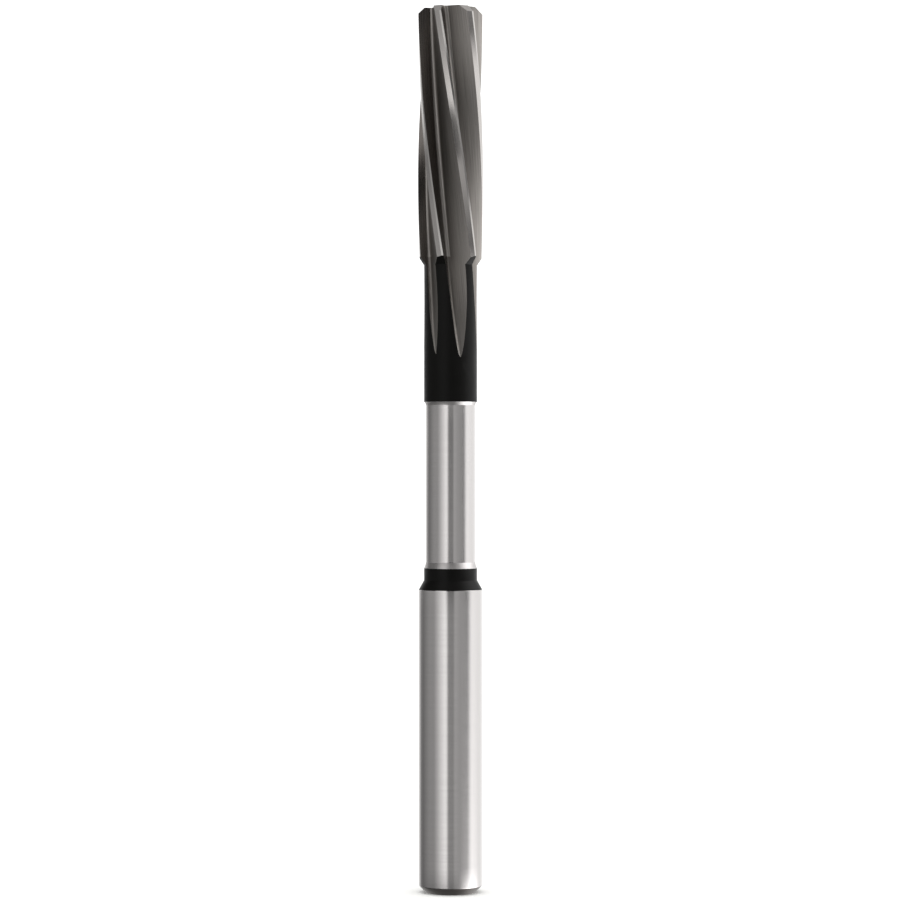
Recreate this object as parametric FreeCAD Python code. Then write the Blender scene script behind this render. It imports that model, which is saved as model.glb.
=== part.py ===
import FreeCAD
import Part
import math
import os

# A machine reamer, ground from one bar of high-speed steel. All sizes are in millimetres and degrees.
# It stands on its shank: the origin is the centre of the shank's end face, and +Z runs up the axis
# to the cutting end. It cuts clockwise seen from the shank, and its flutes wind the other way, so
# that the chips are pushed out ahead of it.

# Lengths along the axis. The black neck takes what the others leave.
overall_length = 125.0
shank_length = 42.75        # cylinder for the collet, with its end chamfer
shank_cone_length = 1.35    # cone from the shank down to the neck
collar_length = 1.7         # black ring left between the cone and the ground neck
ground_neck_length = 23.5   # bright part of the neck, ground a little smaller
back_cone_length = 1.15     # cone behind the teeth
tooth_length = 35.25        # teeth at full diameter, with the bevel lead

# Diameters
head_diameter = 9.2
shank_diameter = 9.0
neck_diameter = 7.5
ground_neck_diameter = 7.0

# Edges
shank_chamfer_width = 1.0   # 45 degrees
bevel_width = 0.85          # bevel lead of 45 degrees, which does the cutting
bevel_relief_angle = 12.0
lower_step_radius = 2.0     # corner that the grinding wheel leaves at the collar
upper_step_radius = 0.6     # and at the black neck

# Teeth. The pitch is unequal to stop chatter. Three pitches fill half a turn and repeat, so that
# each tooth has another opposite to it and the diameter can be measured.
first_pitch_angle = 64.5
second_pitch_angle = 61.0
first_edge_angle = -173.2   # of a cutting edge at the cutting end, from +X
helix_turn_length = 180.0   # length in which the left-hand helix makes one whole turn
margin_width = 0.28         # cylindrical strip at the cutting edge, which guides the reamer
relief_width = 0.75         # flat ground behind the margin
relief_angle = 14.2
flute_angle = 85.0          # between the radial rake face and the back of the next tooth
flute_root_radius = 0.45

# Flute run-out, where the wheel leaves the work along the neck, from the back of the teeth on
runout_length = 14.75
runout_bend_length = 7.75   # part of it in which the wheel starts to rise

# Centre holes, between which the reamer is ground: a pilot and a 60 degree seat
centre_angle = 60.0
shank_pilot_diameter = 2.0
shank_seat_diameter = 4.25
shank_pilot_depth = 4.0
head_pilot_diameter = 1.6
head_seat_diameter = 3.35
head_pilot_depth = 3.2

# How the flute cutter is built
section_spacing = 2.5       # between the sections of its loft
cutter_overrun = 1.5        # past the cutting end and past the run-out's tip
cutter_clearance = 0.6      # outside the teeth
margin_overrun = 0.08       # of the relief flat past the margin's edge

head_radius = head_diameter / 2
shank_radius = shank_diameter / 2
neck_radius = neck_diameter / 2
ground_neck_radius = ground_neck_diameter / 2
cone_start = shank_length
collar_start = cone_start + shank_cone_length
ground_neck_start = collar_start + collar_length
black_neck_start = ground_neck_start + ground_neck_length
back_cone_end = overall_length - tooth_length
back_cone_start = back_cone_end - back_cone_length
runout_start = back_cone_end
runout_end = runout_start - runout_length
pitch_angles = [first_pitch_angle, second_pitch_angle, 180.0 - first_pitch_angle - second_pitch_angle]
axis = FreeCAD.Vector(0, 0, 1)


def meridian(radius, height):
    """Point of the turned outline, in the plane of the axis."""
    return FreeCAD.Vector(radius, 0, height)


def polar(radius, angle, height=0.0):
    turn = math.radians(angle)
    return FreeCAD.Vector(radius * math.cos(turn), radius * math.sin(turn), height)


def revolved(edges):
    outline = Part.Face(Part.Wire(edges))
    return outline.revolve(FreeCAD.Vector(0, 0, 0), axis, 360.0)


def line(start, end):
    return Part.makeLine(start, end)


def step_length(corner_radius):
    """Length along the axis of the wheel's corner, over the step from the ground to the black neck."""
    step = neck_radius - ground_neck_radius
    return math.sqrt(2 * corner_radius * step - step ** 2)


def step_arc(corner_radius, height, rise):
    """Concave corner from the ground neck out to the black one at height. rise is +1 going up, -1 down."""
    reach = step_length(corner_radius)
    centre = meridian(ground_neck_radius + corner_radius, height - rise * reach)
    foot = meridian(ground_neck_radius, centre.z)
    rim = meridian(neck_radius, height)
    half = math.asin(reach / corner_radius) / 2
    middle = centre + meridian(-corner_radius * math.cos(half), rise * corner_radius * math.sin(half))
    return Part.Arc(foot, middle, rim).toShape(), foot, rim


def blank():
    """The turned and ground body, before the flutes."""
    lower_arc, lower_foot, lower_rim = step_arc(lower_step_radius, ground_neck_start, -1)
    upper_arc, upper_foot, upper_rim = step_arc(upper_step_radius, black_neck_start, +1)
    below = [
        meridian(0, 0),
        meridian(shank_radius - shank_chamfer_width, 0),
        meridian(shank_radius, shank_chamfer_width),
        meridian(shank_radius, cone_start),
        meridian(neck_radius, collar_start),
        lower_rim,
    ]
    above = [
        upper_rim,
        meridian(neck_radius, back_cone_start),
        meridian(head_radius, back_cone_end),
        meridian(head_radius, overall_length - bevel_width),
        meridian(head_radius - bevel_width, overall_length),
        meridian(0, overall_length),
    ]
    edges = [line(a, b) for a, b in zip(below, below[1:])]
    edges += [lower_arc, line(lower_foot, upper_foot), upper_arc]
    edges += [line(a, b) for a, b in zip(above, above[1:])]
    edges.append(line(above[-1], below[0]))
    return revolved(edges)


def heel_point(pitch):
    """Where the relief flat ends, in the flute's frame: its own cutting edge is at angle 0."""
    margin_end = polar(head_radius, pitch - math.degrees(margin_width / head_radius))
    fall = pitch - math.degrees(margin_width / head_radius) - 90 - relief_angle
    return margin_end, margin_end + polar(relief_width, fall), polar(1, fall)


def flute_depth_radius(pitch):
    """Distance from the axis to the corner in which the rake face and the tooth's back would meet."""
    heel = heel_point(pitch)[1]
    return heel.x - heel.y * math.tan(math.radians(90 - flute_angle))


def flute_section(pitch, lift):
    """Outline of what the wheels remove between two teeth, moved outwards by lift."""
    margin_end, heel, along_relief = heel_point(pitch)
    slope = math.radians(90 - flute_angle)
    depth = flute_depth_radius(pitch)
    tangent = flute_root_radius * math.tan(math.radians(90 - flute_angle / 2))
    corner = FreeCAD.Vector(depth, 0, 0)
    rake_foot = corner + FreeCAD.Vector(tangent, 0, 0)
    back_foot = corner + FreeCAD.Vector(tangent * math.sin(slope), tangent * math.cos(slope), 0)
    centre = rake_foot + FreeCAD.Vector(0, flute_root_radius, 0)
    inward = (corner - centre).normalize()
    root_middle = centre + inward * flute_root_radius
    relief_end = margin_end - along_relief * margin_overrun
    outside = head_radius + cutter_clearance
    end_angle = math.degrees(math.atan2(relief_end.y, relief_end.x))
    outer_start = polar(outside, 0)
    outer_end = polar(outside, end_angle)
    outer_middle = polar(outside, end_angle / 2)
    edges = [
        line(outer_start, rake_foot),
        Part.Arc(rake_foot, root_middle, back_foot).toShape(),
        line(back_foot, heel),
        line(heel, relief_end),
        line(relief_end, outer_end),
        Part.Arc(outer_end, outer_middle, outer_start).toShape(),
    ]
    wire = Part.Wire(edges)
    wire.translate(FreeCAD.Vector(lift, 0, 0))
    return wire


def wheel_lift(height, depth):
    """How far the wheel has risen from full depth: along a bend first, then straight to the neck's skin."""
    travelled = runout_start - height
    slope = depth / (runout_length - runout_bend_length / 2)
    if travelled <= 0:
        return 0.0
    if travelled <= runout_bend_length:
        return slope * travelled ** 2 / (2 * runout_bend_length)
    return slope * (travelled - runout_bend_length / 2)


def helix_turn(height):
    """Angle by which a cutting edge at this height leads the same edge at the cutting end."""
    return 360.0 * (overall_length - height) / helix_turn_length


def section_heights():
    """Heights of the cutter's sections, closer together where the wheel rises in a bend."""
    top = overall_length + cutter_overrun
    bend_end = runout_start - runout_bend_length
    bottom = runout_end - cutter_overrun
    heights = []
    for low, high in [(bottom, bend_end), (bend_end, runout_start), (runout_start, top)]:
        count = math.ceil((high - low) / section_spacing)
        heights += [low + (high - low) * n / count for n in range(count)]
    heights.append(top)
    return heights


def flute_cutter(edge_angle, pitch):
    """The twisted body that one flute and the relief beside it take out of the blank."""
    depth = neck_radius - flute_depth_radius(pitch)
    sections = []
    for height in section_heights():
        section = flute_section(pitch, wheel_lift(height, depth))
        section.rotate(FreeCAD.Vector(0, 0, 0), axis, edge_angle + helix_turn(height))
        section.translate(FreeCAD.Vector(0, 0, height))
        sections.append(section)
    return Part.makeLoft(sections, True, False)


def bevel_cutter(edge_angle):
    """Plate that relieves one tooth's bevel: its face starts at the lip and falls towards the heel."""
    plate = Part.makeBox(2 * bevel_width, relief_reach(), bevel_width)
    plate.translate(FreeCAD.Vector(-bevel_width / 2, -relief_reach(), 0))
    plate.rotate(FreeCAD.Vector(0, 0, 0), FreeCAD.Vector(1, 0, 0), bevel_relief_angle)
    plate.rotate(FreeCAD.Vector(0, 0, 0), FreeCAD.Vector(0, 1, 0), 45.0)
    plate.translate(meridian(head_radius - bevel_width, overall_length))
    plate.rotate(FreeCAD.Vector(0, 0, 0), axis, edge_angle + helix_turn(overall_length - bevel_width))
    return plate


def relief_reach():
    """Length of the relieving plate round the head: the tooth is narrower than this, the flute wider."""
    return 2 * (margin_width + relief_width)


def centre_hole(pilot_diameter, seat_diameter, pilot_depth):
    """Centre hole opening downwards at z = 0, running up into the work."""
    seat = (seat_diameter - pilot_diameter) / 2 / math.tan(math.radians(centre_angle / 2))
    tip = pilot_depth + pilot_diameter / 2 / math.tan(math.radians(centre_angle))
    points = [
        meridian(0, 0),
        meridian(seat_diameter / 2, 0),
        meridian(pilot_diameter / 2, seat),
        meridian(pilot_diameter / 2, pilot_depth),
        meridian(0, tip),
    ]
    return revolved([line(a, b) for a, b in zip(points, points[1:] + points[:1])])


def reamer():
    cutters = []
    angle = first_edge_angle
    for pitch in pitch_angles * 2:
        cutters.append(flute_cutter(angle, pitch))
        cutters.append(bevel_cutter(angle))
        angle += pitch
    head_hole = centre_hole(head_pilot_diameter, head_seat_diameter, head_pilot_depth)
    head_hole.rotate(FreeCAD.Vector(0, 0, 0), FreeCAD.Vector(1, 0, 0), 180.0)
    head_hole.translate(FreeCAD.Vector(0, 0, overall_length))
    shank_hole = centre_hole(shank_pilot_diameter, shank_seat_diameter, shank_pilot_depth)
    return blank().cut(cutters).cut([head_hole, shank_hole])


os.makedirs("parts", exist_ok=True)
body = reamer()
print("reamer:", len(body.Solids), "solid,", round(body.Volume, 1), "mm3, valid", body.isValid())
body.exportStep("parts/reamer.step")
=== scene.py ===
import math

import bpy
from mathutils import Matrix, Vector
from mathutils.geometry import tessellate_polygon


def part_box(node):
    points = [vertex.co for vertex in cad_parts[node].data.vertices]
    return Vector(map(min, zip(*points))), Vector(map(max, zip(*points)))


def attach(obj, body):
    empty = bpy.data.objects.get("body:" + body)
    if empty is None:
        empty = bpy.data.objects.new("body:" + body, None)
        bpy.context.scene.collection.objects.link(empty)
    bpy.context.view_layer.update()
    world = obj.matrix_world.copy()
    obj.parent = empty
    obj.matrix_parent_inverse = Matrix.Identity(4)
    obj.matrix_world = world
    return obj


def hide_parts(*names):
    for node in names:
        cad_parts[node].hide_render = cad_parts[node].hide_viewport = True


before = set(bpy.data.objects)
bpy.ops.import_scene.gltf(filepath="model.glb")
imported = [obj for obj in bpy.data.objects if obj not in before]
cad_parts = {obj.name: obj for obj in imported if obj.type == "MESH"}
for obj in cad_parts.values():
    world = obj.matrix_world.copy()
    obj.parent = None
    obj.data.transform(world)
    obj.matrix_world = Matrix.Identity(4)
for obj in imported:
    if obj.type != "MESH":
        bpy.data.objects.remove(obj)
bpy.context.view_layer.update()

mm = 0.001   # the CAD is in metres, a tool grinder thinks in millimetres



low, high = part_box("reamer")
toolLength = high.z / mm
headRadius = (high.x - low.x) / 2 / mm

# What a grinder would set, in millimetres and degrees
reamer = {
    "shankRadius": 4.5,
    "neckRadius": 3.75,          # black part of the neck
    "groundNeckRadius": 3.5,
    "shankChamfer": 1.0,
    "shankTop": 42.75,
    "shankConeTop": 44.1,
    "groundNeckBottom": 45.8,
    "groundNeckTop": 69.3,
    "lowerStepRadius": 2.0,
    "upperStepRadius": 0.6,
    "backConeBottom": 88.6,
    "backConeTop": 89.75,
    "bevel": 0.85,
    "bevelRelief": 12.0,
    "edgeBreak": 0.05,           # turned corners are never quite sharp
    "firstEdge": -173.2,         # of a cutting edge at the tip, from +X
    "firstPitch": 64.5,
    "secondPitch": 61.0,
    "helixTurn": 180.0,
    "margin": 0.28,
    "relief": 0.75,
    "reliefAngle": 14.2,
    "fluteAngle": 85.0,
    "rootRadius": 0.45,
    "runout": 14.75,
    "runoutBend": 7.75,
    "spreadBottom": 70.5,        # the columns of faces are even round the tool below this
}
holes = {
    "shank": {"seat": 2.125, "pilot": 1.0, "depth": 4.0},
    "head": {"seat": 1.675, "pilot": 0.8, "depth": 3.2},
    "angle": 60.0,
}
fineness = {
    "flute": 36,                 # columns across a flute, a relief flat and a margin
    "relief": 4,
    "margin": 2,
    "headRow": 0.75,             # heights of the rows of faces
    "runoutRow": 0.5,
    "plainRow": 3.0,
    "coneRows": 6,
    "bevelRows": 6,
    "breakSteps": 3,
    "stepSteps": 8,
    "endHole": 96,               # columns round the head's centre hole
    "halvings": 26,              # of the stretch in which a flute's edge is sought
    "thinnest": 0.0005,          # a shallower flute counts as closed
    "closedWidth": 0.8,          # degrees that a closed flute's columns keep
    "tipRows": 10,               # extra rows where the flute runs out to a point
    "tipSpacing": 0.03,          # mm between the first two of them, and the power by which they open out
    "tipEase": 1.6,
    "tipGap": 0.3,               # mm before the rows go on evenly
    "spreadRow": 1.0,
    "coneGap": 0.25,             # mm of plain tooth left above the cone and under the bevel
    "bevelGap": 0.2,
    "stepGap": 0.02,
}

# three unequal pitches fill half a turn and come again, so each tooth has one opposite to measure across
halfTurn = [reamer["firstPitch"], reamer["secondPitch"]]
halfTurn.append(180.0 - sum(halfTurn))
pitches = halfTurn * 2
runoutBottom = reamer["backConeTop"] - reamer["runout"]
slope = math.radians(90 - reamer["fluteAngle"])
rootSweep = reamer["rootRadius"] * math.radians(180 - reamer["fluteAngle"])


def polar(radius, degrees):
    return radius * math.cos(math.radians(degrees)), radius * math.sin(math.radians(degrees))


def edgeTurn(z):
    # a left-hand helix: further down, an edge is further round
    return 360.0 * (toolLength - z) / reamer["helixTurn"]


def toothTop():
    # margin and relief flat behind a cutting edge, as angles back from it
    marginAngle = math.degrees(reamer["margin"] / headRadius)
    tilt = math.radians(reamer["reliefAngle"])
    inward = headRadius - reamer["relief"] * math.sin(tilt)
    along = reamer["relief"] * math.cos(tilt)
    return marginAngle, marginAngle + math.degrees(math.atan2(along, inward)), math.hypot(inward, along)


marginAngle, heelAngle, heelRadius = toothTop()


def reliefRadius(back):
    # radius of the tooth's top at an angle back from the edge
    if back <= marginAngle:
        return headRadius
    tilt = reamer["reliefAngle"]
    return headRadius * math.cos(math.radians(tilt)) / math.cos(math.radians(tilt - back + marginAngle))


def fluteForm(pitch):
    # in the flute's own frame, x runs out along the rake face and y towards the next tooth
    heelX, heelY = polar(heelRadius, pitch - heelAngle)
    corner = heelX - heelY * math.tan(slope)
    tangent = reamer["rootRadius"] * math.tan(math.radians(90 - reamer["fluteAngle"] / 2))
    backX, backY = corner + tangent * math.sin(slope), tangent * math.cos(slope)
    heelWay = rootSweep + math.hypot(heelX - backX, heelY - backY)
    return {"corner": corner, "rakeFoot": corner + tangent, "back": (backX, backY), "heelWay": heelWay}


flutes = [fluteForm(pitch) for pitch in pitches]


def flutePoint(form, way, lift):
    # way is the distance along the outline from the foot of the rake face
    root = reamer["rootRadius"]
    if way < 0:
        return form["rakeFoot"] - way + lift, 0.0
    if way < rootSweep:
        turn = way / root
        return form["rakeFoot"] - root * math.sin(turn) + lift, root * (1 - math.cos(turn))
    onward = way - rootSweep
    return form["back"][0] + onward * math.sin(slope) + lift, form["back"][1] + onward * math.cos(slope)


def wheelLift(form, z):
    travelled = reamer["backConeTop"] - z
    depth = reamer["neckRadius"] - form["corner"]
    rise = depth / (reamer["runout"] - reamer["runoutBend"] / 2)
    if travelled <= 0:
        return 0.0
    if travelled <= reamer["runoutBend"]:
        return rise * travelled ** 2 / (2 * reamer["runoutBend"])
    return rise * (travelled - reamer["runoutBend"] / 2)


def blankRadius(z):
    if z <= reamer["backConeBottom"]:
        return reamer["neckRadius"]
    if z >= reamer["backConeTop"]:
        return headRadius
    share = (z - reamer["backConeBottom"]) / (reamer["backConeTop"] - reamer["backConeBottom"])
    return reamer["neckRadius"] + share * (headRadius - reamer["neckRadius"])


def bevelFall(back):
    # the bevel's flat falls away behind the lip
    turn = math.radians(back)
    return math.cos(turn) + math.sqrt(2) * math.tan(math.radians(reamer["bevelRelief"])) * math.sin(turn)


def topRadius(back, z):
    # the tooth's limit at a height: turned blank or bevel flat
    bevelBase = toolLength - reamer["bevel"]
    if z < bevelBase - reamer["bevel"]:
        return blankRadius(z)
    behindLip = back + 360.0 * (z - bevelBase) / reamer["helixTurn"]
    flat = (headRadius + bevelBase - z) / bevelFall(behindLip)
    return min(blankRadius(z), flat)


def crossing(form, pitch, lift, z, inside, outside):
    # where the outline between two ways leaves the tooth's limit
    for _ in range(fineness["halvings"]):
        middle = (inside + outside) / 2
        x, y = flutePoint(form, middle, lift)
        back = pitch - math.degrees(math.atan2(y, x)) if outside > inside else 0.0
        if math.hypot(x, y) < topRadius(back, z):
            inside = middle
        else:
            outside = middle
    return (inside + outside) / 2


def fluteEnds(form, pitch, z):
    # ways at which the flute's outline starts and ends, or None below its run-out
    lift = wheelLift(form, z)
    deepest = reamer["rootRadius"] * math.pi / 2
    x, y = flutePoint(form, deepest, lift)
    if math.hypot(x, y) > blankRadius(z) - fineness["thinnest"]:
        return None
    start = crossing(form, pitch, lift, z, deepest, -headRadius)
    end = crossing(form, pitch, lift, z, deepest, form["heelWay"] + reamer["relief"])
    return start, min(end, form["heelWay"]), lift


# columns of one tooth pitch: the flute first, then the top of the next tooth up to its edge
topShares = [n / fineness["relief"] * (1 - marginAngle / heelAngle) for n in range(fineness["relief"])]
topShares += [1 - marginAngle / heelAngle * (1 - n / fineness["margin"]) for n in range(fineness["margin"])]
columnsPerTooth = fineness["flute"] + len(topShares)
columnCount = columnsPerTooth * len(pitches)


def columnKind(index):
    tooth, place = divmod(index % columnCount, columnsPerTooth)
    if place < fineness["flute"]:
        return tooth, "flute", place / fineness["flute"]
    return tooth, "top", topShares[place - fineness["flute"]]


def coneTopHeight(share):
    radius = reliefRadius(heelAngle * (1 - share))
    steepness = (reamer["backConeTop"] - reamer["backConeBottom"]) / (headRadius - reamer["neckRadius"])
    return reamer["backConeTop"] - (headRadius - radius) * steepness


def bevelBaseHeight(share):
    back = heelAngle * (1 - share)
    return toolLength - reamer["bevel"] + headRadius - reliefRadius(back) * bevelFall(back)


def rowHeight(row, kind, place):
    # rows of faces follow the corners where cone and bevel meet the tooth's top
    form, value = row
    share = place if kind == "top" else 1 - place
    if form == "cone":
        bottom = reamer["backConeBottom"]
        return bottom + (coneTopHeight(share) - bottom) * value
    if form == "bevel":
        base = bevelBaseHeight(share)
        return base + (toolLength - base) * value
    return value


def steps(start, end, spacing):
    count = max(1, math.ceil(abs(end - start) / spacing))
    return [start + (end - start) * n / count for n in range(count)]


def fluteRows():
    f = fineness
    tip = [runoutBottom + f["tipSpacing"] * n ** f["tipEase"] for n in range(f["tipRows"])]
    rows = [("plain", z) for z in steps(reamer["spreadBottom"], runoutBottom, f["spreadRow"])]
    rows += [("plain", z) for z in tip]
    rows += [("plain", z) for z in steps(tip[-1] + f["tipGap"], reamer["backConeBottom"], f["runoutRow"])]
    rows += [("cone", n / f["coneRows"]) for n in range(f["coneRows"] + 1)]
    headStart = reamer["backConeTop"] + f["coneGap"]
    headEnd = toolLength - reamer["bevel"] - f["bevelGap"]
    rows += [("plain", z) for z in steps(headStart, headEnd, fineness["headRow"])]
    rows.append(("plain", headEnd))
    rows += [("bevel", n / fineness["bevelRows"]) for n in range(fineness["bevelRows"] + 1)]
    return rows


endCache = {}


def endsAt(tooth, z):
    key = (tooth % len(halfTurn), round(z, 5))
    if key not in endCache:
        endCache[key] = fluteEnds(flutes[tooth], pitches[tooth], z)
    return endCache[key]


def edgeAngle(tooth, z):
    return reamer["firstEdge"] + sum(pitches[:tooth]) + edgeTurn(z)


def evenAngle(index):
    # where a column stands on the plain part of the tool
    return edgeAngle(0, runoutBottom) + 360.0 * index / columnCount


def closedAngle(tooth, z, kind, place):
    # angle of a column beside or below a flute that has closed
    halfWidth = fineness["closedWidth"] / 2
    middle = math.degrees(math.atan2(reamer["rootRadius"], reamer["neckRadius"]))
    if kind == "flute":
        return edgeAngle(tooth, z) + middle - halfWidth + 2 * halfWidth * place
    return edgeAngle(tooth, z) + middle + halfWidth + (pitches[tooth] - 2 * halfWidth) * place


def columnPoint(index, row):
    tooth, kind, place = columnKind(index)
    z = rowHeight(row, kind, place)
    ends = endsAt(tooth, z)
    nextEnds = endsAt((tooth + 1) % len(pitches), z)
    if ends is None:
        if kind == "top":
            # the span between two closed or open flutes
            start = closedAngle(tooth, z, "flute", 1.0)
            if nextEnds is None:
                end = closedAngle((tooth + 1) % len(pitches), z, "flute", 0.0)
                if tooth + 1 == len(pitches):
                    end += 360.0
            else:
                end = edgeAngle(tooth, z) + pitches[tooth] + rakeAngle((tooth + 1) % len(pitches), nextEnds)
            angle = start + (end - start) * place
        else:
            angle = closedAngle(tooth, z, kind, place)
        below = max(0.0, min(1.0, (runoutBottom - z) / (runoutBottom - reamer["spreadBottom"])))
        blend = below * below * (3 - 2 * below)
        angle += (evenAngle(index) - angle) * blend
        x, y = polar(blankRadius(z), angle)
        return x, y, z
    start, end, lift = ends
    form = flutes[tooth]
    if kind == "flute":
        x, y = flutePoint(form, start + (end - start) * place, lift)
        turn = math.radians(edgeAngle(tooth, z))
        return x * math.cos(turn) - y * math.sin(turn), x * math.sin(turn) + y * math.cos(turn), z
    x, y = flutePoint(form, end, lift)
    heelBack = pitches[tooth] - math.degrees(math.atan2(y, x))
    if nextEnds is None:
        lead = closedAngle(0, z, "flute", 0.0) - edgeAngle(0, z)
    else:
        lead = rakeAngle((tooth + 1) % len(pitches), nextEnds)
    back = heelBack - (heelBack + lead) * place
    radius = topRadius(back, z)
    if back < heelAngle + 0.01:
        radius = min(radius, reliefRadius(max(back, 0.0)))
    if place == 0.0:
        radius = math.hypot(x, y)
    x, y = polar(radius, edgeAngle(tooth, z) + pitches[tooth] - back)
    return x, y, z


def rakeAngle(tooth, ends):
    # near the run-out's tip the flute starts a little behind its edge line
    start, end, lift = ends
    x, y = flutePoint(flutes[tooth], start, lift)
    return math.degrees(math.atan2(y, x))



def rounded(points):
    # breaks each corner of a turned profile with a small arc; points are (radius, height)
    smooth = [points[0]]
    for before, corner, after in zip(points, points[1:], points[2:]):
        a, b, c = Vector(before), Vector(corner), Vector(after)
        reach = min(reamer["edgeBreak"], (a - b).length / 3, (c - b).length / 3)
        start, end = b + (a - b).normalized() * reach, b + (c - b).normalized() * reach
        for n in range(fineness["breakSteps"] + 1):
            t = n / fineness["breakSteps"]
            smooth.append(tuple(start * (1 - t) ** 2 + b * 2 * t * (1 - t) + end * t * t))
    smooth.append(points[-1])
    return smooth


def stepArc(radius, foot, rise):
    # the wheel's corner between the ground and the black neck, from the foot outwards
    drop = reamer["neckRadius"] - reamer["groundNeckRadius"]
    reach = math.sqrt(2 * radius * drop - drop ** 2)
    whole = math.asin(reach / radius)
    arc = []
    for n in range(fineness["stepSteps"] + 1):
        turn = whole * n / fineness["stepSteps"]
        across = reamer["groundNeckRadius"] + radius * (1 - math.cos(turn))
        arc.append((across, foot + rise * radius * math.sin(turn)))
    return arc, reach


def holeProfile(hole):
    # (radius, depth) from the seat's rim to the drilled point
    half = math.radians(holes["angle"] / 2)
    seat = (hole["seat"] - hole["pilot"]) / math.tan(half)
    point = hole["depth"] + hole["pilot"] / math.tan(math.radians(holes["angle"]))
    return [(hole["seat"], 0.0), (hole["pilot"], seat), (hole["pilot"], hole["depth"]), (0.0, point)]


def shankProfile():
    # outside of the turned part, from the rim of the shank's centre hole up to the black neck
    lowArc, lowReach = stepArc(reamer["lowerStepRadius"], 0.0, -1)
    highArc, highReach = stepArc(reamer["upperStepRadius"], 0.0, +1)
    neckLow = reamer["groundNeckBottom"] + lowReach
    neckHigh = reamer["groundNeckTop"] - highReach
    outer = [
        (holes["shank"]["seat"], 0.0),
        (reamer["shankRadius"] - reamer["shankChamfer"], 0.0),
        (reamer["shankRadius"], reamer["shankChamfer"]),
        (reamer["shankRadius"], reamer["shankTop"]),
        (reamer["neckRadius"], reamer["shankConeTop"]),
        (reamer["neckRadius"], reamer["groundNeckBottom"]),
    ]
    profile = rounded(outer)
    profile += [(r, neckLow + z) for r, z in reversed(lowArc)][1:]
    profile += [(reamer["groundNeckRadius"], z) for z in steps(neckLow, neckHigh, fineness["plainRow"])[1:]]
    profile += [(r, neckHigh + z) for r, z in highArc]
    profile.append((reamer["neckRadius"], reamer["groundNeckTop"] + fineness["stepGap"]))
    profile.append((reamer["neckRadius"], (reamer["groundNeckTop"] + reamer["spreadBottom"]) / 2))
    return profile


def surfaceName(radius, z):
    # which finish a turned stretch has, by the middle of its face
    if z < reamer["shankChamfer"]:
        return "end"
    if z < reamer["shankTop"]:
        return "shank"
    if z < reamer["groundNeckBottom"]:
        return "black"
    if z < reamer["groundNeckTop"]:
        return "corner" if radius > reamer["groundNeckRadius"] + 0.002 else "shank"
    return "black"



surfaceOrder = ["shank", "corner", "black", "flute", "rake", "root", "land", "margin", "end"]


def buildReamerMesh():
    points = []
    faces = []
    kinds = []
    sharp = set()

    def ring(positions):
        start = len(points)
        points.extend(positions)
        return list(range(start, start + len(positions)))

    def turnedRing(radius, z, count=columnCount, even=True):
        return ring([(*polar(radius, evenAngle(n) if even else 360.0 * n / count), z) for n in range(count)])

    def skin(lowRing, highRing, name):
        count = len(lowRing)
        for n in range(count):
            m = (n + 1) % count
            faces.append((lowRing[n], lowRing[m], highRing[m], highRing[n]))
            kinds.append(name(n) if callable(name) else name)

    def fan(ringIndices, tip, name, flip=False):
        count = len(ringIndices)
        for n in range(count):
            corners = (ringIndices[n], ringIndices[(n + 1) % count], tip)
            faces.append(corners[::-1] if flip else corners)
            kinds.append(name)

    # shank's centre hole, from its point outwards
    profile = holeProfile(holes["shank"])
    previous = None
    for radius, depth in reversed(profile):
        if radius == 0.0:
            tip = ring([(0.0, 0.0, depth)])[0]
            continue
        current = turnedRing(radius, depth)
        if previous is None:
            fan(current, tip, "end", flip=True)
        else:
            skin(previous, current, "end")
        previous = current
        if depth > 0:
            sharp.update(zip(current, current[1:] + current[:1]))
    # outside of the turned part; the ring at the seat's rim is shared with the hole
    outline = shankProfile()
    sharp.update(zip(previous, previous[1:] + previous[:1]))
    for (beforeRadius, beforeZ), (radius, z) in zip(outline, outline[1:]):
        breaks = steps(beforeZ, z, fineness["plainRow"])[1:]
        for height in breaks + [z]:
            share = (height - beforeZ) / (z - beforeZ) if z != beforeZ else 1.0
            across = beforeRadius + (radius - beforeRadius) * share
            current = turnedRing(across, height)
            skin(previous, current, surfaceName((beforeRadius + radius) / 2, (beforeZ + z) / 2))
            previous = current

    # neck and head with the flutes
    lastRow = None
    for row in fluteRows():
        current = ring([columnPoint(index, row) for index in range(columnCount)])
        if lastRow is None:
            skin(previous, current, "black")
        else:
            skin(previous, current, lambda n, low=lastRow, up=row: headSurface(n, low, up))
            markSharp(sharp, previous, current, lastRow, row)
        previous = current
        lastRow = row

    # flat end face, round the centre hole
    holeCount = fineness["endHole"]
    rim = turnedRing(holes["head"]["seat"], toolLength, holeCount, even=False)
    outlineRing = [Vector(points[i]) for i in previous]
    holeRing = [Vector(points[i]) for i in rim]
    order = previous + rim
    for triangle in tessellate_polygon([outlineRing, holeRing]):
        a, b, c = (Vector(points[order[i]]) for i in triangle)
        up = (b - a).cross(c - a).z > 0
        corners = tuple(order[i] for i in triangle)
        faces.append(corners if up else corners[::-1])
        kinds.append("end")
    sharp.update(zip(previous, previous[1:] + previous[:1]))
    sharp.update(zip(rim, rim[1:] + rim[:1]))
    previous = rim
    for radius, depth in holeProfile(holes["head"])[1:]:
        if radius == 0.0:
            tip = ring([(0.0, 0.0, toolLength - depth)])[0]
            fan(previous, tip, "end")
            continue
        current = turnedRing(radius, toolLength - depth, holeCount, even=False)
        skin(previous, current, "end")
        sharp.update(zip(current, current[1:] + current[:1]))
        previous = current
    return points, faces, kinds, sharp


def isOpen(tooth, row, kind, place):
    return endsAt(tooth, rowHeight(row, kind, place)) is not None


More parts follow.
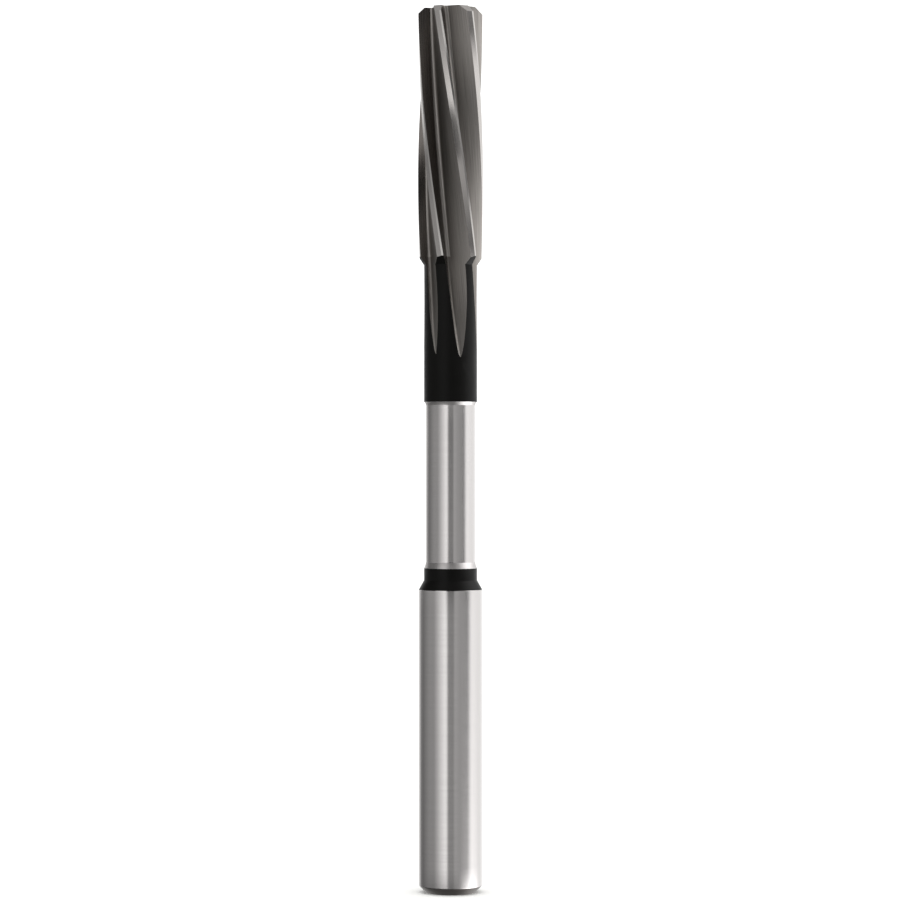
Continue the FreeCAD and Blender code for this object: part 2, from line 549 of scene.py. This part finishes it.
def headSurface(index, low, up):
    tooth, kind, place = columnKind(index)
    if kind == "flute":
        if not isOpen(tooth, up, kind, place):
            return "black"
        start, end, lift = endsAt(tooth, rowHeight(up, kind, place))
        way = start + (end - start) * place
        if way < 0:
            return "rake"
        return "root" if way < rootSweep and lift == 0 else "flute"
    if low[0] == "plain" and low[1] < reamer["backConeTop"]:
        return "black"
    if low[0] == "cone" and low[1] < 1:
        return "black"
    if low[0] == "bevel":
        return "land"
    return "margin" if place >= 1 - marginAngle / heelAngle - 1e-6 else "land"


def markSharp(sharp, lowRing, upRing, low, up):
    marginPlace = fineness["flute"] + fineness["relief"]
    for tooth in range(len(pitches)):
        first = tooth * columnsPerTooth
        opened = isOpen(tooth, up, "flute", 0.5)
        inHead = (low[0] == "cone" and low[1] == 1) or (low[0] == "plain" and low[1] > reamer["backConeTop"])
        if opened:
            sharp.add((lowRing[first], upRing[first]))
            heel = first + fineness["flute"]
            sharp.add((lowRing[heel], upRing[heel]))
        if inHead:
            sharp.add((lowRing[first + marginPlace], upRing[first + marginPlace]))
    cornerRow = low in (("cone", 0.0), ("cone", 1.0), ("bevel", 0.0))
    if not cornerRow:
        return
    for index in range(columnCount):
        if columnKind(index)[1] == "top":
            sharp.add((lowRing[index], lowRing[(index + 1) % columnCount]))


def makeReamer(materials):
    points, faces, kinds, sharp = buildReamerMesh()
    mesh = bpy.data.meshes.new("machineReamer")
    mesh.from_pydata([(x * mm, y * mm, z * mm) for x, y, z in points], [], faces)
    for name in surfaceOrder:
        mesh.materials.append(materials[name])
    mesh.polygons.foreach_set("material_index", [surfaceOrder.index(kind) for kind in kinds])
    mesh.polygons.foreach_set("use_smooth", [True] * len(faces))
    wanted = {tuple(sorted(pair)) for pair in sharp}
    for edge in mesh.edges:
        if tuple(sorted(edge.vertices)) in wanted:
            edge.use_edge_sharp = True
    layer = mesh.uv_layers.new(name="grain")
    setGrain(mesh, layer, points)
    mesh.validate()
    mesh.update()
    piece = bpy.data.objects.new("machineReamer", mesh)
    bpy.context.scene.collection.objects.link(piece)
    return piece


def setGrain(mesh, layer, points):
    # u runs across the grinding lines and v along them, both in millimetres; lines follow the helix
    for polygon in mesh.polygons:
        middle = polygon.center / mm
        turned = math.degrees(math.atan2(middle.y, middle.x)) - edgeTurn(middle.z)
        for loop in polygon.loop_indices:
            x, y, z = points[mesh.loops[loop].vertex_index]
            angle = math.degrees(math.atan2(y, x)) - edgeTurn(z)
            angle += 360.0 * round((turned - angle) / 360.0)
            layer.data[loop].uv = (math.radians(angle) * headRadius + math.hypot(x, y), z)



def linear(colour):
    # sRGB hex to what the shader wants
    parts = [int(colour[n:n + 2], 16) / 255 for n in (1, 3, 5)]
    return tuple(p / 12.92 if p <= 0.04045 else ((p + 0.055) / 1.055) ** 2.4 for p in parts) + (1.0,)


def addNode(tree, kind, links=None, **settings):
    # links holds a value or another node's socket for each input
    node = tree.nodes.new(kind)
    for name, value in settings.items():
        setattr(node, name, value)
    for socket, source in (links or {}).items():
        if isinstance(source, bpy.types.NodeSocket):
            tree.links.new(source, node.inputs[socket])
        else:
            node.inputs[socket].default_value = source
    return node


def newMaterial(name):
    material = bpy.data.materials.new(name)
    material.use_nodes = True
    material.node_tree.nodes.clear()
    return material, material.node_tree


def noise(tree, place, detail, roughness, scale=1.0):
    return addNode(tree, "ShaderNodeTexNoise", {"Vector": place, "Scale": scale, "Detail": detail,
                   "Roughness": roughness}).outputs["Fac"]


def between(tree, share, low, high, start=0.3, end=0.7):
    # noise hardly leaves 0.3 to 0.7, so that stretch is spread over the wanted range
    return addNode(tree, "ShaderNodeMapRange", {"Value": share, "From Min": start, "From Max": end,
                   "To Min": low, "To Max": high}).outputs[0]


def mixed(tree, share, first, second):
    return addNode(tree, "ShaderNodeMix", {"Factor": share, "A": linear(first), "B": linear(second)},
                   data_type="RGBA").outputs["Result"]


def bumped(tree, height, strength, depth):
    relief = addNode(tree, "ShaderNodeBump", {"Height": height, "Strength": strength, "Distance": depth * mm})
    return relief.outputs[0]


def addSurface(tree, **links):
    links = {name.replace("_", " "): value for name, value in links.items()}
    surface = addNode(tree, "ShaderNodeBsdfPrincipled", links)
    addNode(tree, "ShaderNodeOutputMaterial", {"Surface": surface.outputs[0]})


groundSteel = {
    "colour": "#c8c5c4",
    "darker": "#c0bdbc",
    "roughness": 0.2,
    "cornerRoughness": 0.5,  # where the wheel's worn corner cut
    "anisotropy": 0.75,
    "lineSpacing": 0.09,     # mm between the wheel's lines round the shank
    "lineDepth": 0.0003,     # mm
}


def makeGroundSteel(name, roughness):
    # cylindrically ground high-speed steel: fine lines run round the tool, so reflections stay sharp
    # sideways and smear along the axis
    g = groundSteel
    material, tree = newMaterial(name)
    place = addNode(tree, "ShaderNodeTexCoord")
    squeeze = addNode(tree, "ShaderNodeMapping", {"Vector": place.outputs["Object"],
                      "Scale": (40.0, 40.0, 1 / (g["lineSpacing"] * mm) / 2)})
    lines = noise(tree, squeeze.outputs[0], 3.0, 0.6)
    around = addNode(tree, "ShaderNodeTangent", direction_type="RADIAL", axis="Z")
    addSurface(tree, Base_Color=mixed(tree, lines, g["colour"], g["darker"]), Metallic=1.0,
               Roughness=between(tree, lines, roughness - 0.02, roughness + 0.03),
               Anisotropic=g["anisotropy"], Anisotropic_Rotation=0.25,
               Normal=bumped(tree, lines, 0.6, g["lineDepth"]), Tangent=around.outputs[0])
    return material


fluteSteel = {
    "darkestShadeRadius": 2.7,       # mm from the axis: painted shade at its darkest within this
    "shadeEndRadius": 4.3,     # and no painted shade outside this, only the heel's colour
    "streakWidth": 0.09,     # mm
    "streakRate": 0.10,      # changes per mm along a streak
    "contrast": 0.32,
    "streakDepth": 0.0012,   # mm
}


def makeFluteSteel(name, shadedColour, heel, roughness):
    # steel ground by the flank of a coarse wheel: satin and streaked along the helix; its colour is darkened
    # down in the flute as painted shade
    f = fluteSteel
    material, tree = newMaterial(name)
    place = addNode(tree, "ShaderNodeTexCoord")
    flat = addNode(tree, "ShaderNodeVectorMath", {0: place.outputs["Object"], 1: (1.0, 1.0, 0.0)},
                   operation="MULTIPLY")
    radius = addNode(tree, "ShaderNodeVectorMath", {0: flat.outputs[0]}, operation="LENGTH").outputs["Value"]
    # painted shade: the colour darkens from the heel's towards the axis, down in the flute
    outOfShade = between(tree, radius, 0.0, 1.0, f["darkestShadeRadius"] * mm, f["shadeEndRadius"] * mm)
    grain = addNode(tree, "ShaderNodeUVMap", uv_map="grain")
    fine = addNode(tree, "ShaderNodeMapping", {"Vector": grain.outputs[0],
                   "Scale": (1 / f["streakWidth"], f["streakRate"], 1.0)})
    lines = noise(tree, fine.outputs[0], 4.0, 0.65)
    shade = between(tree, lines, 1 - f["contrast"], 1 + f["contrast"])
    streaked = addNode(tree, "ShaderNodeVectorMath", {0: mixed(tree, outOfShade, shadedColour, heel), "Scale": shade},
                       operation="SCALE")
    addSurface(tree, Base_Color=streaked.outputs[0], Metallic=1.0,
               Roughness=between(tree, lines, roughness - 0.05, roughness + 0.05),
               Normal=bumped(tree, lines, 0.8, f["streakDepth"]))
    return material


def makeLandSteel(name, colour, darker, roughness, spacing, depth):
    # finely ground steel of lands, margins and end faces: nearly a mirror with a few fine scratches along
    # the helix, so it flashes from dark to light as the tool turns
    material, tree = newMaterial(name)
    grain = addNode(tree, "ShaderNodeUVMap", uv_map="grain")
    squeeze = addNode(tree, "ShaderNodeMapping", {"Vector": grain.outputs[0], "Scale": (1 / spacing, 0.12, 1.0)})
    lines = noise(tree, squeeze.outputs[0], 3.0, 0.6)
    addSurface(tree, Base_Color=mixed(tree, lines, colour, darker), Metallic=1.0,
               Roughness=between(tree, lines, roughness - 0.05, roughness + 0.06),
               Normal=bumped(tree, lines, 0.7, depth))
    return material


blackOxide = {
    "colour": "#060605",
    "lighter": "#0a0908",
    "cloudSize": 1.5,        # mm
    "smoothest": 0.36,
    "roughest": 0.46,
    "sheen": 0.1,            # far below a bare surface, as the oxide soaks up oil
}


def makeBlackOxide():
    # hot black oxide on turned steel: nearly black, with a soft gleam only along the edges
    b = blackOxide
    material, tree = newMaterial("blackOxide")
    place = addNode(tree, "ShaderNodeTexCoord")
    cloud = noise(tree, place.outputs["Object"], 5.0, 0.6, 1 / (b["cloudSize"] * mm))
    addSurface(tree, Base_Color=mixed(tree, cloud, b["colour"], b["lighter"]), Metallic=0.0,
               Roughness=between(tree, cloud, b["smoothest"], b["roughest"]), IOR=1.5,
               Specular_IOR_Level=b["sheen"])
    return material


studio = {
    "floorColour": "#f4f4f2",
    "floorSize": 12.0,         # metres
    "openLight": 1.4,          # what lights the floor from all round
    "bandTop": 11.0,           # degrees above and below the horizon that the screens fill
    "bandFade": 18.0,
    "boxTop": 46.0,            # and up to here stand the two soft lights
    "boxFade": 62.0,
    "keyLevel": 3.0,           # the big light on the right
    "lowKeyLevel": 4.6,        # and its image in the table
    "fillLevel": 1.3,          # the small one on the left
    "backLevel": 1.0,
    "roomLevel": 0.03,
    "tableLevel": 0.05,
    "ceilingLevel": 0.7,
    "underLevel": 0.34,        # the table top right under the work
}

# Screens round the tool: degrees from the camera, positive to its right, and how bright it is there.
# From mid-height up the left one is softer, and the camera stands dark in the middle.
lowerScreens = [
    (-180, 1.1), (-150, 0.9), (-136, 0.29), (-118, 0.20), (-106, 0.28), (-85, 0.41), (-62, 0.44),
    (-50, 0.72), (-42, 1.00), (-34, 1.28), (-20, 1.72), (-14, 1.66), (-8, 0.52), (10, 0.50), (14, 0.66),
    (26, 0.54), (45, 0.36), (64, 0.15), (77, 1.02), (84, 1.28), (180, 1.3),
]
upperScreens = [
    (-180, 1.1), (-138, 1.0), (-124, 0.45), (-114, 0.28), (-100, 0.36), (-82, 0.48), (-62, 0.52),
    (-45, 0.65), (-32, 0.85), (-23, 1.05), (-18, 1.0), (-13, 0.05), (12, 0.05), (16, 0.6),
    (26, 0.55), (64, 0.22), (79, 1.2), (86, 1.4), (180, 1.4),
]


def tableLevels():
    room, key, back = studio["tableLevel"], studio["lowKeyLevel"], studio["backLevel"]
    return [
        (-180, back), (-150, back), (-136, room), (12, room), (34, 0.10 * key), (50, 0.44 * key),
        (70, key), (84, 1.1 * key), (108, key), (134, 0.3 * key), (180, back),
    ]


def boxLevels():
    room, key, back = studio["roomLevel"], studio["keyLevel"], studio["backLevel"]
    fill = studio["fillLevel"]
    return [
        (-180, back), (-150, back), (-136, room), (-62, room), (-53, fill), (-18, fill), (-12, room), (12, room),
        (36, 0.10 * key), (56, 0.28 * key), (72, 0.85 * key), (84, key), (108, key), (134, 0.3 * key), (180, back),
    ]


def plainLevel(tree, level):
    return addNode(tree, "ShaderNodeBackground", {"Color": (1.0, 1.0, 1.0, 1.0), "Strength": level}).outputs[0]


def levelRamp(tree, share, stops):
    # a colour ramp holds no more than 1, so the levels are scaled down for it and back up after it
    strongest = max(level for _, level in stops)
    ramp = addNode(tree, "ShaderNodeValToRGB", {"Fac": share})
    elements = ramp.color_ramp.elements
    while len(elements) < len(stops):
        elements.new(0.5)
    for element, (degrees, level) in zip(elements, stops):
        element.position = (degrees + 180) / 360
        element.color = (level / strongest,) * 3 + (1.0,)
    return addNode(tree, "ShaderNodeBackground", {"Color": ramp.outputs["Color"], "Strength": strongest}).outputs[0]


def blendAt(tree, value, start, end, low, high):
    # one part of the studio gives way to another between two heights
    share = between(tree, value, 0.0, 1.0, math.sin(math.radians(start)), math.sin(math.radians(end)))
    return addNode(tree, "ShaderNodeMixShader", {0: share, 1: low, 2: high}).outputs[0]


def makeStudio():
    world = bpy.data.worlds.new("studio")
    bpy.context.scene.world = world
    world.use_nodes = True
    tree = world.node_tree
    tree.nodes.clear()
    way = addNode(tree, "ShaderNodeTexCoord")
    axes = addNode(tree, "ShaderNodeSeparateXYZ", {0: way.outputs["Generated"]})
    up = axes.outputs["Z"]
    towards = addNode(tree, "ShaderNodeMath", {0: axes.outputs["Y"], 1: -1.0}, operation="MULTIPLY")
    turn = addNode(tree, "ShaderNodeMath", {0: axes.outputs["X"], 1: towards.outputs[0]}, operation="ARCTAN2")
    share = between(tree, turn.outputs[0], 0.0, 1.0, -math.pi, math.pi)
    steep = addNode(tree, "ShaderNodeMath", {0: up}, operation="ABSOLUTE").outputs[0]
    screens = blendAt(tree, up, 0.7, 2.2, levelRamp(tree, share, lowerScreens), levelRamp(tree, share, upperScreens))
    lights = blendAt(tree, up, -3, 3, levelRamp(tree, share, tableLevels()), levelRamp(tree, share, boxLevels()))
    ends = blendAt(tree, up, -3, 3, plainLevel(tree, studio["underLevel"]), plainLevel(tree, studio["ceilingLevel"]))
    sides = blendAt(tree, steep, studio["boxTop"], studio["boxFade"], lights, ends)
    reflected = blendAt(tree, steep, studio["bandTop"], studio["bandFade"], screens, sides)
    # the steel mirrors the studio, and all else is lit evenly
    path = addNode(tree, "ShaderNodeLightPath")
    both = addNode(tree, "ShaderNodeMixShader", {0: path.outputs["Is Glossy Ray"],
                   1: plainLevel(tree, studio["openLight"]), 2: reflected})
    addNode(tree, "ShaderNodeOutputWorld", {"Surface": both.outputs[0]})


def makeFloor():
    half = studio["floorSize"] / 2
    mesh = bpy.data.meshes.new("floor")
    mesh.from_pydata([(-half, -half, 0), (half, -half, 0), (half, half, 0), (-half, half, 0)], [], [(0, 1, 2, 3)])
    floor = bpy.data.objects.new("floor", mesh)
    bpy.context.scene.collection.objects.link(floor)
    # matt white paper
    material, tree = newMaterial("paleFloor")
    addSurface(tree, Base_Color=linear(studio["floorColour"]), Roughness=0.9, Specular_IOR_Level=0.0)
    mesh.materials.append(material)
    floor.visible_glossy = False


camera = {
    "distance": 455.0,     # mm, a long lens from mid-height
    "height": toolLength / 2,
    "aside": -0.08,
    "lens": 128.7,
}


def makeCamera():
    data = bpy.data.cameras.new("camera")
    data.lens = camera["lens"]
    data.sensor_width = 36.0
    data.clip_start = 0.01
    eye = bpy.data.objects.new("camera", data)
    eye.location = (camera["aside"] * mm, -camera["distance"] * mm, camera["height"] * mm)
    eye.rotation_euler = (math.radians(90), 0, 0)
    bpy.context.scene.collection.objects.link(eye)
    bpy.context.scene.camera = eye


print("finishes")
materials = {
    "shank": makeGroundSteel("groundSteel", groundSteel["roughness"]),
    "corner": makeGroundSteel("cornerSteel", groundSteel["cornerRoughness"]),
    "black": makeBlackOxide(),
    # flute backs: colour runs from painted shade deep in the flute to the heel's own colour
    "flute": makeFluteSteel("fluteSteel", "#635f5b", "#938f8b", 0.48),
    "root": makeFluteSteel("rootSteel", "#8f8b87", "#8f8b87", 0.42),
    # rake faces: a darker colour all over as painted shade from the flute, a little darker still down in it
    "rake": makeFluteSteel("rakeShadedSteel", "#67635f", "#6d6864", 0.27),
    "land": makeLandSteel("landSteel", "#c0bcb9", "#aeaaa7", 0.17, 0.08, 0.0006),
    "margin": makeLandSteel("marginSteel", "#bcb9b6", "#b0adaa", 0.2, 0.1, 0.0004),
    "end": makeLandSteel("endSteel", "#6b6764", "#5d5956", 0.38, 0.15, 0.001),
}
print("reamer mesh")
piece = makeReamer(materials)
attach(piece, "root")
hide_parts("reamer")
print("studio")
makeStudio()
makeFloor()
makeCamera()
bpy.context.scene.view_settings.view_transform = "Standard"

print("faces", len(piece.data.polygons))
